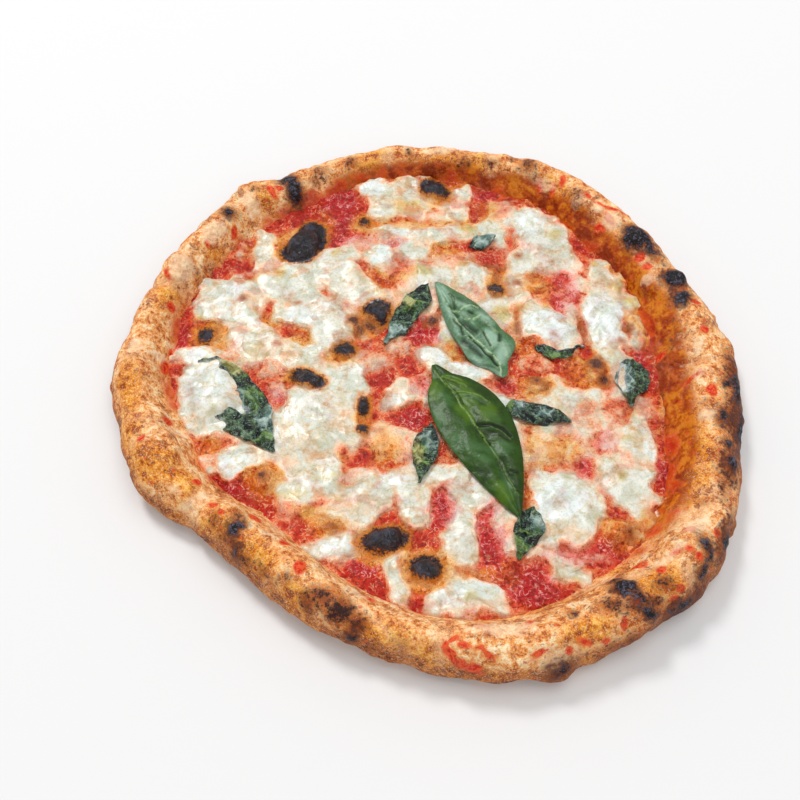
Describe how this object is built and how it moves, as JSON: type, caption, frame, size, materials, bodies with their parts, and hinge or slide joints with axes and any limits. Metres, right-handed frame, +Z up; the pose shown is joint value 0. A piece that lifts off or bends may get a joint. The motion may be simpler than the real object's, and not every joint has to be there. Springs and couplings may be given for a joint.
{
  "type": "margherita pizza",
  "caption": "Whole wood-fired margherita pizza: a thin disc of dough with a high puffed rim, tomato sauce, melted mozzarella and basil leaves, some wilted and some fresh.",
  "frame": {"origin": "centre of the pizza's outline, on the surface that it rests on", "axes": "+Z up out of the toppings, -Y towards the side nearest the viewer in the picture, +X to the viewer's right"},
  "size_m": [0.3051, 0.3059, 0.0282],
  "materials": {
    "crust": "baked bread crust, golden with brown freckles and black char on the bubbles, dry outside and oily on the inner slope",
    "sauce": "wet tomato sauce, red to orange, with scorched blisters",
    "mozzarella": "melted mozzarella, cream white and moist",
    "wilted_basil": "oven-wilted basil, very dark green, crinkled and oily",
    "fresh_basil": "fresh basil leaf, deep green with paler veins, waxy"
  },
  "bodies": {
    "root": {"dough": "crust", "tomato_sauce": "sauce", "mozzarella_01": "mozzarella", "mozzarella_02": "mozzarella", "mozzarella_03": "mozzarella", "mozzarella_04": "mozzarella", "mozzarella_05": "mozzarella", "mozzarella_06": "mozzarella", "mozzarella_07": "mozzarella", "mozzarella_08": "mozzarella", "mozzarella_09": "mozzarella", "mozzarella_10": "mozzarella", "mozzarella_11": "mozzarella", "mozzarella_12": "mozzarella", "mozzarella_13": "mozzarella", "mozzarella_14": "mozzarella", "mozzarella_15": "mozzarella", "mozzarella_16": "mozzarella", "mozzarella_17": "mozzarella", "mozzarella_18": "mozzarella", "mozzarella_19": "mozzarella", "mozzarella_20": "mozzarella", "mozzarella_21": "mozzarella", "mozzarella_22": "mozzarella", "mozzarella_23": "mozzarella", "mozzarella_24": "mozzarella", "mozzarella_25": "mozzarella", "mozzarella_26": "mozzarella", "mozzarella_27": "mozzarella", "mozzarella_28": "mozzarella", "mozzarella_29": "mozzarella", "mozzarella_30": "mozzarella", "mozzarella_31": "mozzarella", "mozzarella_32": "mozzarella", "mozzarella_33": "mozzarella", "mozzarella_34": "mozzarella", "mozzarella_35": "mozzarella", "mozzarella_36": "mozzarella", "mozzarella_37": "mozzarella", "mozzarella_38": "mozzarella", "mozzarella_39": "mozzarella", "mozzarella_40": "mozzarella", "mozzarella_41": "mozzarella", "basil_left": "wilted_basil", "basil_centre_back": "wilted_basil", "basil_centre": "wilted_basil", "basil_right_of_centre": "wilted_basil", "basil_under_cheese": "wilted_basil", "basil_right": "wilted_basil", "basil_front": "wilted_basil", "basil_back": "wilted_basil", "fresh_basil_large": "fresh_basil", "fresh_basil_small": "fresh_basil"}
  },
  "joints": []
}
